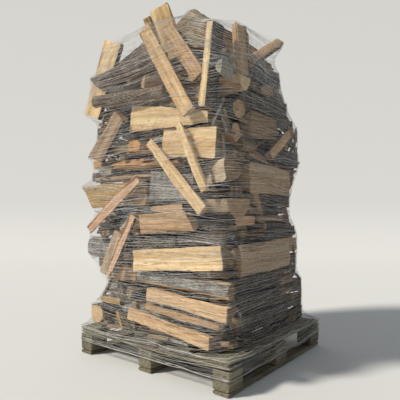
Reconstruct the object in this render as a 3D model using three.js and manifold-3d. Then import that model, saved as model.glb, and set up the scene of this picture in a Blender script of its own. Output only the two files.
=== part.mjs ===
// Firewood pallet: split logs piled on a wooden block pallet and held by a knitted net wrap.
// Millimetres, +Z up, origin at the middle of the pallet's underside.
// The front is the -Y side, the right is the +X side.
import * as THREE from 'three';
import { mergeVertices } from 'three/addons/utils/BufferGeometryUtils.js';
import Module from 'manifold-3d';

// Pallet sizes
const PALLET_X = 1000;
const PALLET_Y = 950;
const BOARD_T = 20;
const BLOCK_X = 90;
const BLOCK_Y = 110;
const BLOCK_H = 90;
const STRINGER_W = 100;
const BOTTOM_W = 90;
const DECK_WIDE = 140;
const DECK_NARROW = 100;
const DECK_TOP = 150;

// Gap kept between neighbouring pieces
const GAP = 0.3;
const LOG_GAP = 1.0;
const PUSH_STEP = 4;

// Logs laid behind others are pushed in, straight away from this point outside the near corner.
// The packed logs leave a niche open in front of each of them.
const NEAR_SIDE = [1520, -1985, 777];
const NICHE = 120;

// Net wrap sizes
const NET_T = 1.6;
const NET_CLEAR = 2.6;
const NET_HEM = 69;
const NET_TOP = 1822;
const NET_TILT_FROM = 1300;
const NET_SIDES = 32;
const NET_RING_STEP = 62;

// Height of the net's upper rim, by the direction it faces, in degrees from +X towards +Y
const NET_RIM = [
  [-180, 1750], [-131, 1806], [-108, 1780], [-85, 1795], [-61, 1822], [-47, 1712], [-36, 1704],
  [-25, 1735], [0, 1732], [14, 1752], [30, 1800], [60, 1765], [120, 1750], [180, 1750],
];

const wasm = await Module();
wasm.setup();

const object = new THREE.Group();
object.name = 'firewood_pallet';

const COLOURS = {
  pallet: 0x8f8a74,
  cream: 0xe6cda0,
  tan: 0xc9a878,
  pink: 0xcfa386,
  ochre: 0xa98448,
  orange: 0xc98a45,
  brown: 0x8d7350,
  silver: 0xa09b92,
  bark: 0x5c574f,
  inside: 0x6b5a45,
  net: 0xb9b9b4,
};

function addPiece(name, solid, colour, roughness) {
  const mesh = solid.getMesh();
  const geometry = new THREE.BufferGeometry();
  const points = new Float32Array(mesh.numVert * 3);
  for (let i = 0; i < mesh.numVert; i += 1) {
    points[3 * i] = mesh.vertProperties[mesh.numProp * i];
    points[3 * i + 1] = mesh.vertProperties[mesh.numProp * i + 1];
    points[3 * i + 2] = mesh.vertProperties[mesh.numProp * i + 2];
  }
  geometry.setAttribute('position', new THREE.BufferAttribute(points, 3));
  geometry.setIndex(Array.from(mesh.triVerts));
  geometry.computeVertexNormals();
  const material = new THREE.MeshStandardMaterial({
    color: COLOURS[colour],
    roughness,
    metalness: 0,
  });
  const piece = new THREE.Mesh(geometry, material);
  piece.name = name;
  object.add(piece);
}

function solidOf(geometry) {
  geometry.deleteAttribute('normal');
  geometry.deleteAttribute('uv');
  const merged = mergeVertices(geometry, 1e-4);
  return new wasm.Manifold(new wasm.Mesh({
    numProp: 3,
    vertProperties: Float32Array.from(merged.attributes.position.array),
    triVerts: Uint32Array.from(merged.index.array),
  }));
}

function solidOfPoints(points, triangles) {
  return new wasm.Manifold(new wasm.Mesh({
    numProp: 3,
    vertProperties: Float32Array.from(points.flat()),
    triVerts: Uint32Array.from(triangles.flat()),
  }));
}

function block(sizeX, sizeY, sizeZ, x, y, zLow) {
  const box = new THREE.BoxGeometry(sizeX, sizeY, sizeZ);
  box.translate(x, y, zLow + sizeZ / 2);
  return solidOf(box);
}

// Pallet: bottom boards, blocks, stringer boards, deck boards
const rowX = [-(PALLET_X - BLOCK_X) / 2, 0, (PALLET_X - BLOCK_X) / 2];
const rowY = [-(PALLET_Y - BLOCK_Y) / 2, 0, (PALLET_Y - BLOCK_Y) / 2];
const bottomX = (PALLET_X - BOTTOM_W) / 2;
[-bottomX, 0, bottomX].forEach((x, i) => {
  const board = block(BOTTOM_W, PALLET_Y, BOARD_T - GAP, x, 0, 0);
  addPiece(`bottom_board_${i + 1}`, board, 'pallet', 0.85);
});
let blockCount = 0;
for (const y of rowY) {
  for (const x of rowX) {
    blockCount += 1;
    const body = block(BLOCK_X, BLOCK_Y, BLOCK_H - GAP, x, y, BOARD_T);
    addPiece(`pallet_block_${blockCount}`, body, 'pallet', 0.85);
  }
}
const stringerY = (PALLET_Y - STRINGER_W) / 2;
[-stringerY, 0, stringerY].forEach((y, i) => {
  const board = block(PALLET_X, STRINGER_W, BOARD_T - GAP, 0, y, BOARD_T + BLOCK_H);
  addPiece(`stringer_board_${i + 1}`, board, 'pallet', 0.85);
});
const deckEdge = (PALLET_X - DECK_WIDE) / 2;
[-deckEdge, -deckEdge / 2, 0, deckEdge / 2, deckEdge].forEach((x, i) => {
  const width = i % 2 === 0 ? DECK_WIDE : DECK_NARROW;
  const board = block(width, PALLET_Y, BOARD_T - GAP, x, 0, DECK_TOP - BOARD_T);
  addPiece(`deck_board_${i + 1}`, board, 'pallet', 0.85);
});

// Cross-sections of a log, as shares of its width and depth.
// The first number runs along the visible side, the second from the outer face (0) to the back (-1).
const SECTIONS = {
  split: [[-0.5, 0], [0.5, 0], [0.44, -0.42], [0.2, -0.84], [-0.08, -1], [-0.38, -0.62]],
  bark: [[-0.5, -0.55], [-0.42, -0.22], [-0.2, -0.04], [0.05, 0], [0.28, -0.08],
    [0.45, -0.3], [0.5, -0.6], [0.05, -1]],
  round: [[-0.5, -0.45], [-0.36, -0.13], [-0.05, 0], [0.3, -0.09], [0.5, -0.42],
    [0.42, -0.8], [0.08, -1], [-0.34, -0.88]],
  gable: [[-0.5, -0.24], [-0.05, -0.02], [0.05, 0], [0.5, -0.42], [0.36, -0.84], [0.08, -1], [-0.34, -0.8]],
  ridge: [[-0.5, -0.6], [-0.06, -0.03], [0.06, 0], [0.5, -0.5], [0.4, -0.86], [0.02, -1], [-0.36, -0.94]],
  board: [[-0.5, 0], [0.5, 0], [0.72, -0.3], [0.68, -0.7], [0.36, -1], [-0.3, -1], [-0.5, -0.6]],
};
const FACING = {
  front: [0, -1, 0],
  right: [1, 0, 0],
  back: [0, 1, 0],
  left: [-1, 0, 0],
  top: [0, 0, 1],
};

// The middle of the visible face runs from start to end; shift moves the whole log.
// A slanted end runs on by its slant from one side of the face to the other.
function logSolid(entry, shift, grow) {
  const start = new THREE.Vector3(...entry.start).add(shift);
  const end = new THREE.Vector3(...entry.end).add(shift);
  const along = end.clone().sub(start).normalize();
  const outward = new THREE.Vector3(...FACING[entry.facing]);
  outward.addScaledVector(along, -outward.dot(along)).normalize();
  outward.applyAxisAngle(along, THREE.MathUtils.degToRad(entry.roll ?? 0));
  const side = along.clone().cross(outward);
  start.addScaledVector(along, -grow);
  end.addScaledVector(along, grow);
  const shape = SECTIONS[entry.section];
  const count = shape.length;
  const points = [];
  const ends = [[start, 1, entry.startSlant ?? 0], [end, entry.taper ?? 1, entry.endSlant ?? 0]];
  for (const [place, taper, slant] of ends) {
    for (const [s, o] of shape) {
      const across = s * (entry.width * taper + 2 * grow);
      const inward = o * (entry.depth + 2 * grow) + grow;
      const point = place.clone().addScaledVector(side, across).addScaledVector(outward, inward);
      point.addScaledVector(along, s * slant);
      points.push([point.x, point.y, point.z]);
    }
  }
  return wasm.Manifold.hull(points);
}

// Every log that shows its own shape, outermost first
const LOGS = [
  { name: 'front_log_1', start: [-38, -462, 1722], end: [250, -452, 1255], facing: 'front',
    width: 85, depth: 58, section: 'split', colour: 'cream' },
  { name: 'front_log_2', start: [3, -462, 1138], end: [335, -458, 788], facing: 'front',
    width: 58, depth: 48, section: 'split', colour: 'cream', taper: 1.3 },
  { name: 'front_log_3', start: [195, -460, 1205], end: [352, -460, 880], facing: 'front',
    width: 44, depth: 44, section: 'split', colour: 'cream' },
  { name: 'front_log_4', start: [-470, -462, 686], end: [-82, -458, 957], facing: 'front',
    width: 64, depth: 48, section: 'split', colour: 'pink' },
  { name: 'front_log_5', start: [-120, -455, 768], end: [-290, -462, 470], facing: 'front',
    width: 58, depth: 46, section: 'split', colour: 'pink' },
  { name: 'front_log_6', start: [-115, -452, 535], end: [445, -455, 583], facing: 'front',
    width: 112, depth: 84, section: 'split', colour: 'cream' },
  { name: 'front_log_7', start: [-100, -452, 462], end: [480, -455, 435], facing: 'front',
    width: 84, depth: 88, section: 'bark', colour: 'silver' },
  { name: 'front_log_8', start: [-20, -452, 374], end: [472, -455, 338], facing: 'front',
    width: 74, depth: 80, section: 'split', colour: 'pink' },
  { name: 'front_log_9', start: [-155, -446, 262], end: [372, -452, 196], facing: 'front',
    width: 68, depth: 78, section: 'split', colour: 'tan' },
  { name: 'front_log_10', start: [-150, -452, 1278], end: [372, -446, 1214], facing: 'front',
    width: 158, depth: 84, section: 'split', colour: 'cream', taper: 0.4 },
  { name: 'front_log_11', start: [-436, -466, 1512], end: [40, -440, 1590], facing: 'front',
    width: 112, depth: 60, section: 'bark', colour: 'bark', startSlant: 80 },
  { name: 'front_log_12', start: [-450, -466, 1416], end: [70, -440, 1392], facing: 'front',
    width: 76, depth: 60, section: 'bark', colour: 'bark' },
  { name: 'front_log_13', start: [328, -446, 1272], end: [377, -446, 1652], facing: 'front',
    width: 42, depth: 104, section: 'board', colour: 'tan' },
  { name: 'front_log_14', start: [-108, -452, 1167], end: [-60, 20, 1167], facing: 'top',
    width: 118, depth: 76, section: 'round', colour: 'orange' },
  { name: 'front_log_15', start: [410, -446, 1094], end: [66, -430, 1126], facing: 'front',
    width: 150, depth: 80, section: 'split', colour: 'tan' },
  { name: 'front_log_16', start: [456, -450, 970], end: [120, -222, 968], facing: 'front',
    width: 116, depth: 100, section: 'split', colour: 'cream' },
  { name: 'front_log_17', start: [-44, -444, 1456], end: [150, -60, 1440], facing: 'front',
    width: 84, depth: 78, section: 'split', colour: 'cream' },
  { name: 'front_log_18', start: [-340, -402, 1758], end: [-502, -424, 1334], facing: 'front',
    width: 166, depth: 74, section: 'split', colour: 'cream', taper: 0.86 },
  { name: 'front_log_19', start: [92, -440, 1712], end: [298, -436, 1420], facing: 'front',
    width: 84, depth: 66, section: 'split', colour: 'brown' },
  { name: 'front_log_20', start: [-250, -440, 1310], end: [-446, -440, 1084], facing: 'front',
    width: 118, depth: 76, section: 'split', colour: 'tan', endSlant: 50 },
  { name: 'front_log_21', start: [-304, -444, 1044], end: [176, -436, 1028], facing: 'front',
    width: 66, depth: 76, section: 'ridge', colour: 'orange' },
  { name: 'front_log_22', start: [-516, -440, 872], end: [-40, -436, 884], facing: 'front',
    width: 138, depth: 84, section: 'split', colour: 'tan', startSlant: 104 },
  { name: 'front_log_23', start: [-240, -440, 676], end: [-352, -440, 440], facing: 'front',
    width: 86, depth: 42, section: 'split', colour: 'tan' },
  { name: 'front_log_24', start: [-508, -436, 585], end: [-80, -290, 574], facing: 'front',
    width: 130, depth: 112, section: 'bark', colour: 'bark' },
  { name: 'front_log_25', start: [-84, -440, 722], end: [245, -440, 743], facing: 'front',
    width: 110, depth: 84, section: 'split', colour: 'tan', endSlant: 60 },
  { name: 'front_log_26', start: [-412, -446, 272], end: [-404, 20, 272], facing: 'top',
    width: 92, depth: 98, section: 'board', colour: 'ochre' },
  { name: 'top_log_1', start: [256, -430, 1757], end: [250, 40, 1752], facing: 'top',
    width: 226, depth: 214, section: 'gable', colour: 'ochre' },
  { name: 'top_log_2', start: [46, -440, 1826], end: [96, -300, 1470], facing: 'front',
    width: 132, depth: 66, section: 'split', colour: 'tan' },
  { name: 'top_log_3', start: [-52, -430, 1806], end: [10, -250, 1420], facing: 'front',
    width: 56, depth: 52, section: 'split', colour: 'ochre' },
  { name: 'right_log_1', start: [446, -290, 552], end: [440, 236, 566], facing: 'right',
    width: 166, depth: 84, section: 'split', colour: 'tan' },
  { name: 'right_log_2', start: [444, -204, 952], end: [440, 236, 948], facing: 'right',
    width: 154, depth: 84, section: 'split', colour: 'tan' },
  { name: 'right_log_3', start: [450, -322, 848], end: [30, -232, 842], facing: 'top',
    width: 170, depth: 112, section: 'split', colour: 'tan' },
  { name: 'right_log_4', start: [452, -4, 1080], end: [446, 230, 1232], facing: 'right',
    width: 58, depth: 46, section: 'split', colour: 'brown' },
  { name: 'right_log_5', start: [444, -192, 1218], end: [436, 98, 1226], facing: 'right',
    width: 140, depth: 84, section: 'split', colour: 'brown' },
  { name: 'right_log_6', start: [444, -248, 1446], end: [436, -264, 1686], facing: 'right',
    width: 102, depth: 62, section: 'split', colour: 'brown' },
  { name: 'right_log_7', start: [446, -256, 1440], end: [160, -250, 1440], facing: 'top',
    width: 116, depth: 84, section: 'split', colour: 'tan' },
  { name: 'right_log_8', start: [424, -112, 1552], end: [408, 240, 1766], facing: 'right',
    width: 70, depth: 66, section: 'ridge', colour: 'tan' },
];

function gapTo(solid, others) {
  let least = Infinity;
  for (const other of others) {
    const gap = solid.minGap(other, 3);
    least = Math.min(least, gap);
  }
  return least;
}

const logs = [];
const shifts = [];
for (const entry of LOGS) {
  const middle = new THREE.Vector3(...entry.start).add(new THREE.Vector3(...entry.end)).multiplyScalar(0.5);
  const away = middle.clone().sub(new THREE.Vector3(...NEAR_SIDE)).normalize();
  let distance = 0;
  let solid = logSolid(entry, new THREE.Vector3(), 0);
  const placed = logs.map((log) => log.solid);
  while (gapTo(solid, placed) < LOG_GAP && distance < 400) {
    distance += PUSH_STEP;
    solid = logSolid(entry, away.clone().multiplyScalar(distance), 0);
  }
  shifts.push(distance);
  const wide = logSolid(entry, away.clone().multiplyScalar(distance), LOG_GAP);
  const before = logSolid(entry, away.clone().multiplyScalar(distance - NICHE), LOG_GAP);
  const open = distance > 0 && entry.facing !== 'top';
  const room = open ? wasm.Manifold.hull([wide, before]) : wide;
  logs.push({ name: entry.name, colour: entry.colour, solid, room });
}
for (const log of logs) {
  addPiece(log.name, log.solid, log.colour, 0.8);
}

// Rings of the closely packed logs inside: height, left, right, front, back,
// how far left the front face reaches, and how far back the right face reaches
const PACKED_LOWER = [
  [151, -470, 425, -420, 450, -450, 425],
  [250, -466, 425, -420, 450, -435, 415],
  [370, -458, 422, -418, 450, -310, 410],
  [450, -462, 420, -418, 445, -365, 315],
  [560, -485, 418, -416, 440, -470, 350],
  [640, -490, 416, -416, 435, -465, 365],
  [780, -482, 412, -414, 435, -395, 205],
  [930, -490, 415, -414, 440, -475, 268],
];
const PACKED_UPPER = [
  [932, -490, 415, -414, 440, -475, 268],
  [1070, -486, 418, -415, 448, -465, 385],
  [1200, -476, 415, -412, 450, -455, 362],
  [1300, -470, 410, -410, 446, -430, 366],
  [1350, -468, 405, -408, 440, -440, 245],
  [1500, -455, 395, -400, 420, -436, 195],
  [1610, -430, 375, -380, 395, -405, 155],
  [1700, -340, 300, -300, 330, -325, 200],
];
const NEAR_CUT = 36;
const FAR_CUT = 105;

// Both long cuts run the way the pile is seen past its left and its far right edge
const LEFT_CUT_SLOPE = 0.84;
const RIGHT_CUT_SLOPE = 0.5;

function ringPoints(ring) {
  const [z, left, right, front, back, frontLeft, rightBack] = ring;
  const corners = [
    [frontLeft, front], [right - NEAR_CUT, front], [right, front + NEAR_CUT], [right, rightBack],
    [right - RIGHT_CUT_SLOPE * (back - rightBack), back], [left + FAR_CUT, back],
    [left, back - FAR_CUT], [left, front + LEFT_CUT_SLOPE * (frontLeft - left)],
  ];
  return corners.map(([x, y]) => [x, y, z]);
}

// Loft between rings of equal point counts, closed by a flat fan at both ends
function loft(rings) {
  const count = rings[0].length;
  const points = rings.flat();
  const triangles = [];
  for (let r = 0; r + 1 < rings.length; r += 1) {
    for (let i = 0; i < count; i += 1) {
      const a = r * count + i;
      const b = r * count + ((i + 1) % count);
      triangles.push([a, b, b + count]);
      triangles.push([a, b + count, a + count]);
    }
  }
  const last = (rings.length - 1) * count;
  for (let i = 1; i + 1 < count; i += 1) {
    triangles.push([0, i + 1, i]);
    triangles.push([last, last + i, last + i + 1]);
  }
  return solidOfPoints(points, triangles);
}

function largestOf(solid) {
  return solid.decompose().reduce((best, part) => (part.volume() > best.volume() ? part : best));
}

const packed = [];
[PACKED_LOWER, PACKED_UPPER].forEach((rings, index) => {
  let body = loft(rings.map((ring) => ringPoints(ring)));
  for (const log of logs) {
    body = body.subtract(log.room);
  }
  body = largestOf(body);
  packed.push(body);
  addPiece(`packed_logs_${index + 1}`, body, 'inside', 0.9);
});

// Points that the net is drawn round: the pallet, every log and the packed logs
const held = [];
for (const x of [-PALLET_X / 2, PALLET_X / 2]) {
  for (const y of [-PALLET_Y / 2, PALLET_Y / 2]) {
    for (let z = 0; z <= DECK_TOP; z += 10) {
      held.push([x, y, z]);
    }
  }
}

function addEdges(solid) {
  const mesh = solid.getMesh();
  const at = (i) => [0, 1, 2].map((k) => mesh.vertProperties[mesh.numProp * i + k]);
  for (let t = 0; t < mesh.triVerts.length; t += 3) {
    for (let e = 0; e < 3; e += 1) {
      const p = at(mesh.triVerts[t + e]);
      const q = at(mesh.triVerts[t + ((e + 1) % 3)]);
      const steps = Math.max(1, Math.ceil(Math.abs(p[2] - q[2]) / 12));
      for (let k = 0; k <= steps; k += 1) {
        held.push([0, 1, 2].map((c) => p[c] + ((q[c] - p[c]) * k) / steps));
      }
    }
  }
}
logs.forEach((log) => addEdges(log.solid));
packed.forEach((body) => addEdges(body));

const netLevels = [NET_HEM, 110, 140, 158];
for (let z = 196; z < NET_TOP - 30; z += NET_RING_STEP) {
  netLevels.push(z);
}
netLevels.push(NET_TOP);

// Height of one level of the net in one direction: level below, then tilting with the rim
function heightAt(level, degrees) {
  const angle = degrees > 180 ? degrees - 360 : degrees;
  const next = NET_RIM.findIndex(([from]) => from >= angle);
  const [b, rimB] = NET_RIM[Math.max(next, 1)];
  const [a, rimA] = NET_RIM[Math.max(next, 1) - 1];
  const rim = rimA + ((rimB - rimA) * (angle - a)) / (b - a);
  const tilt = THREE.MathUtils.smoothstep(netLevels[level], NET_TILT_FROM, NET_TOP);
  return netLevels[level] + (rim - NET_TOP) * tilt;
}

// Held points between the levels below and above one level of the net
function heldNear(level) {
  const below = Math.max(level - 1, 0);
  const above = Math.min(level + 1, netLevels.length - 1);
  return held.filter(([x, y, z]) => {
    const degrees = THREE.MathUtils.radToDeg(Math.atan2(y, x));
    return z >= heightAt(below, degrees) - 8 && z <= heightAt(above, degrees) + 8;
  });
}

// A ring of the net is the polygon of tangent lines, one for each direction
function netRing(level, clear) {
  const near = heldNear(level);
  const turn = 360 / NET_SIDES;
  const lines = [];
  for (let i = 0; i < NET_SIDES; i += 1) {
    const aim = THREE.MathUtils.degToRad(i * turn);
    const direction = [Math.cos(aim), Math.sin(aim)];
    const reach = near.reduce((most, [x, y]) => Math.max(most, x * direction[0] + y * direction[1]), 0);
    lines.push([direction, reach + clear]);
  }
  return lines.map(([a, reachA], i) => {
    const [b, reachB] = lines[(i + 1) % NET_SIDES];
    const det = a[0] * b[1] - a[1] * b[0];
    const x = (reachA * b[1] - reachB * a[1]) / det;
    const y = (a[0] * reachB - b[0] * reachA) / det;
    return [x, y, heightAt(level, (i + 0.5) * turn)];
  });
}

// The wrap: outer rings upwards, then inner rings downwards, closed at the hem
const outerRings = netLevels.map((z, level) => netRing(level, NET_CLEAR + NET_T));
const innerRings = netLevels.map((z, level) => netRing(level, NET_CLEAR));
const wrapRings = [...outerRings, ...innerRings.reverse()];
const wrapTriangles = [];
wrapRings.forEach((ring, r) => {
  const next = ((r + 1) % wrapRings.length) * NET_SIDES;
  for (let i = 0; i < NET_SIDES; i += 1) {
    const a = r * NET_SIDES + i;
    const b = r * NET_SIDES + ((i + 1) % NET_SIDES);
    const c = next + ((i + 1) % NET_SIDES);
    const d = next + i;
    wrapTriangles.push([a, b, c]);
    wrapTriangles.push([a, c, d]);
  }
});
const wrap = solidOfPoints(wrapRings.flat(), wrapTriangles);
addPiece('net_wrap', wrap, 'net', 0.6);

export { shifts, logs };
export default object;
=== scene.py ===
# Firewood pallet: split logs piled on a wooden block pallet inside a stretched knitted net wrap.
# Metres, +Z up. The front of the pile is the -Y side, the right is the +X side.
import math

import bpy
import numpy as np
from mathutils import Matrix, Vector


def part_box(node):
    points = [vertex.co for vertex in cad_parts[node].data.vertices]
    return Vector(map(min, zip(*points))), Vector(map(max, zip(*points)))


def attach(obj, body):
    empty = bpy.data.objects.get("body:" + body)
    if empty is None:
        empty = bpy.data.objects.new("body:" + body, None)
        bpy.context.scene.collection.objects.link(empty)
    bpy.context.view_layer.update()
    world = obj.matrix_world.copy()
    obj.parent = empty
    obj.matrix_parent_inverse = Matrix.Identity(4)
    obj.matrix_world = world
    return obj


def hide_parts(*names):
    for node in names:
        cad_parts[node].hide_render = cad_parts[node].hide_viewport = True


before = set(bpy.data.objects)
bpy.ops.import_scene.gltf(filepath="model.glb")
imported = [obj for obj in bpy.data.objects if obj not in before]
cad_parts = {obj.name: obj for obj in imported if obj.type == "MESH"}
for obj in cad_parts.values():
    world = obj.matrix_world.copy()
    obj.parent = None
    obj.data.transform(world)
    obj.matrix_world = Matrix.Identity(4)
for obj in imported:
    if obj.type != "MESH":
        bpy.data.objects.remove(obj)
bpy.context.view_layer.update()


# Pallet: bottom boards, blocks, stringer boards and deck boards of rough sawn softwood.
# They are nailed in four layers, 150 mm high in all, and have weathered to a grey brown.
# Each piece is a sawn bar, carried along its grain, with worn edges and a slightly furred face.
PALLET_LIGHT = (0.31, 0.275, 0.195)
PALLET_DARK = (0.10, 0.087, 0.062)
SAWN_ROUGH = 0.0009
EDGE_WEAR = 0.003


def waves(place, seed, reach, count=14):
    """Smooth random relief: a sum of sine waves in random directions, each phase drawn once.
    reach holds the typical wavelength along each of the three axes."""
    draw = np.random.default_rng(seed)
    turn = draw.normal(size=(count, 3)) * (2 * math.pi / np.asarray(reach)) * 0.6
    phase = draw.uniform(0, 2 * math.pi, count)
    return np.sin(place @ turn.T + phase).sum(axis=-1) / math.sqrt(count / 2)


def unit(vector):
    """One vector, at a length of one."""
    return vector / np.linalg.norm(vector)


def units(vectors):
    """Many vectors, each at a length of one."""
    return vectors / np.linalg.norm(vectors, axis=-1, keepdims=True)


def placed(name, data):
    """A new object in the scene."""
    thing = bpy.data.objects.new(name, data)
    bpy.context.scene.collection.objects.link(thing)
    return thing


def new_piece(name, points, quads, materials, part=None, grain=None, sharp=35, tris=None):
    """A mesh from whole arrays: points, four-sided faces, the finish number of each face and
    the grain coordinates of each point. Edges sharper than the given angle stay crisp."""
    quads = np.asarray(quads, np.int32).reshape(-1, 4)
    tris = np.zeros((0, 3), np.int32) if tris is None else np.asarray(tris, np.int32).reshape(-1, 3)
    mesh = bpy.data.meshes.new(name)
    mesh.vertices.add(len(points))
    mesh.vertices.foreach_set("co", np.asarray(points, np.float32).ravel())
    mesh.loops.add(quads.size + tris.size)
    mesh.loops.foreach_set("vertex_index", np.concatenate([quads.ravel(), tris.ravel()]))
    sides = np.concatenate([np.full(len(quads), 4), np.full(len(tris), 3)])
    mesh.polygons.add(len(sides))
    mesh.polygons.foreach_set("loop_start", np.concatenate([[0], np.cumsum(sides)[:-1]]).astype(np.int32))
    if part is not None:
        mesh.polygons.foreach_set("material_index", np.asarray(part, np.int32))
    mesh.polygons.foreach_set("use_smooth", np.ones(len(sides), bool))
    if grain is not None:
        field = mesh.attributes.new("grain", "FLOAT_VECTOR", "POINT")
        field.data.foreach_set("vector", np.asarray(grain, np.float32).ravel())
    mesh.update(calc_edges=True)
    mesh.validate()
    if sharp:
        mesh.set_sharp_from_angle(angle=math.radians(sharp))
    for material in materials:
        mesh.materials.append(material)
    return placed(name, mesh)


def side_normals(first, last):
    """The outward normal of each side of a bar, square to the line through its middle."""
    along = unit(last.mean(axis=0) - first.mean(axis=0))
    edge = np.roll(first, -1, axis=0) - first
    normal = units(np.cross(edge, along))
    if ((first - first.mean(axis=0) + edge / 2) * normal).sum() < 0:
        normal = -normal
    return normal


def carried(first, last, kind, seed, fine, step, relief, chips=0.0035):
    """A closed bar carried from the outline first to the outline last.
    Each outline edge is cut into steps of about fine, the length into steps of about step.
    Every point moves inwards along its side's normal by relief(kind, place, seed), never outwards,
    and along the edges by 1.2 mm and up to one and a half times chips more.
    kind is the finish of each outline edge; both ends are closed by three rings and a middle point.
    Returns points, quads, triangles, finish numbers (end grain is 2) and grain coordinates."""
    middle_a = first.mean(axis=0)
    middle_b = last.mean(axis=0)
    length = np.linalg.norm(middle_b - middle_a)
    along = (middle_b - middle_a) / length
    edge = np.roll(first, -1, axis=0) - first
    size = np.linalg.norm(edge, axis=1)
    cuts = np.maximum(1, np.ceil(size / fine)).astype(int)
    number = np.repeat(np.arange(len(first)), cuts)
    share = np.concatenate([np.arange(c) / c for c in cuts])[:, None]
    ring_a = first[number] + share * edge[number]
    ring_b = last[number] + share * (np.roll(last, -1, axis=0) - last)[number]
    normal = side_normals(first, last)
    before = np.roll(number, 1)
    at_corner = (number != before)[:, None]
    out = units(np.where(at_corner, normal[number] + normal[before], normal[number]))
    rows = max(3, int(round(length / step))) + 1
    t = np.linspace(0, 1, rows)[:, None, None]
    place = ring_a * (1 - t) + ring_b * t
    upright = unit(normal[0])
    across = np.cross(along, upright)
    offset = place - middle_a
    grain = np.stack([offset @ across, offset @ upright, offset @ along], axis=-1)
    finish = np.asarray(kind)[number]
    depth = relief(np.broadcast_to(finish, place.shape[:2]), grain, seed)
    end = np.minimum(t[..., 0], 1 - t[..., 0]) * length
    depth = depth + 0.0015 * np.exp(-end / 0.004)
    worn = 0.0012 + chips * np.clip(waves(grain, seed + 6, (0.02, 0.02, 0.045), 10), 0, 1.5)
    depth = depth + np.where(at_corner[:, 0], worn, 0.0)
    place = place - out[None] * depth[..., None]
    n = len(number)
    r, c = np.meshgrid(np.arange(rows - 1), np.arange(n), indexing="ij")
    nxt = (c + 1) % n
    quads = np.stack([r * n + c, r * n + nxt, (r + 1) * n + nxt, (r + 1) * n + c], axis=-1).reshape(-1, 4)
    faces = np.broadcast_to(finish, (rows - 1, n)).ravel()
    points = [place.reshape(-1, 3)]
    grains = [grain.reshape(-1, 3)]
    tris = []
    parts = [faces]
    total = rows * n
    j = np.arange(n)
    for ring, seat, forward in ((place[0], grain[0], False), (place[-1], grain[-1], True)):
        core, core_grain = ring.mean(axis=0), seat.mean(axis=0)
        base = 0 if not forward else (rows - 1) * n
        for share_in in (0.36, 0.7):
            bump = 0.0005 * waves(seat * (1 - share_in), seed + 5, (0.02, 0.02, 0.02), 6)[:, None] * along
            points.append(ring * (1 - share_in) + core * share_in + bump)
            grains.append(seat * (1 - share_in) + core_grain * share_in)
            a, b = base + j, base + (j + 1) % n
            c2, d = total + (j + 1) % n, total + j
            face = np.stack([a, b, c2, d] if forward else [b, a, d, c2], axis=-1)
            quads = np.concatenate([quads, face])
            parts.append(np.full(n, 2))
            base = total
            total += n
        points.append(core[None])
        grains.append(core_grain[None])
        a, b = base + j, base + (j + 1) % n
        tris.append(np.stack([a, b, np.full(n, total)] if forward else [b, a, np.full(n, total)], axis=-1))
        total += 1
    parts.append(np.full(2 * n, 2))
    points = np.concatenate(points)
    tris = np.concatenate(tris)
    corner = points[quads[0]]
    away = np.cross(corner[1] - corner[0], corner[2] - corner[0])
    if away @ out[0] < 0:
        quads = quads[:, ::-1]
        tris = tris[:, ::-1]
    return points, quads, tris, np.concatenate(parts), np.concatenate(grains)


def sawn_relief(finish, grain, seed):
    """Sawn faces: a fine furred relief along the grain and a slow hollow across the face."""
    fibre = waves(grain, seed, (0.006, 0.006, 0.09))
    slow = waves(grain, seed + 1, (0.12, 0.12, 0.6), 6)
    return SAWN_ROUGH * (0.7 + 0.5 * fibre) + 0.0006 * (1 + slow)


def put(socket, value):
    """Joins a node's input to what comes from another node, or sets it to a plain value."""
    if isinstance(value, bpy.types.NodeSocket):
        socket.id_data.links.new(value, socket)
    else:
        socket.default_value = value


def new_look(name, roughness):
    """A new material, as two functions: add puts a node into it, and finished gives it its
    colour and, where there is a height, a bump of that strength and depth."""
    material = bpy.data.materials.new(name)
    material.use_nodes = True
    shader = material.node_tree.nodes["Principled BSDF"]
    put(shader.inputs["Roughness"], roughness)
    put(shader.inputs["Specular IOR Level"], 0.25)

    def add(kind, inputs=None, **settings):
        node = material.node_tree.nodes.new(kind)
        for key, value in settings.items():
            setattr(node, key, value)
        for key, value in (inputs or {}).items():
            put(node.inputs[key], value)
        return node

    def finished(colour, strength=0.0, depth=0.0, height=None):
        put(shader.inputs["Base Color"], colour)
        if height is not None:
            bump = add("ShaderNodeBump", {"Strength": strength, "Distance": depth, "Height": height})
            put(shader.inputs["Normal"], bump.outputs[0])
        return material

    return add, finished


def ramp(add, source, stops):
    """A colour ramp over a 0 to 1 value, from (position, colour) stops."""
    node = add("ShaderNodeValToRGB", {"Fac": source})
    bands = node.color_ramp.elements
    while len(bands) < len(stops):
        bands.new(0.5)
    for band, (position, colour) in zip(bands, stops):
        band.position = position
        band.color = (*colour, 1)
    return node.outputs["Color"]


def shaded(add, share, colour, source, stops):
    """A colour multiplied, by a share, with a colour ramp over a value."""
    inputs = {0: share, 6: colour, 7: ramp(add, source, stops)}
    return add("ShaderNodeMix", inputs, data_type="RGBA", blend_type="MULTIPLY").outputs[2]


def noise(add, place, scale, detail, rough=0.5, out="Fac"):
    """Soft noise over a place, as a value or, with Color for out, as three."""
    return add("ShaderNodeTexNoise", {"Vector": place, "Scale": scale, "Detail": detail,
                                      "Roughness": rough}).outputs[out]


def swirled(add, place, scale, detail, shift):
    """A place bent by soft noise, by up to shift along each axis."""
    swirl = noise(add, place, scale, detail, out="Color")
    bend = add("ShaderNodeVectorMath", {0: swirl, 1: shift}, operation="MULTIPLY").outputs[0]
    return add("ShaderNodeVectorMath", {0: place, 1: bend}, operation="ADD").outputs[0]


def fibres(add, place, fine, seed, detail=4):
    """Noise drawn out along the grain: fine across it, thirty times longer along it."""
    stretched = add("ShaderNodeMapping", {"Vector": place, "Scale": (1, 1, 0.035), "Location": (seed, 0, 0)})
    return noise(add, stretched.outputs[0], fine, detail, 0.62)


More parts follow.
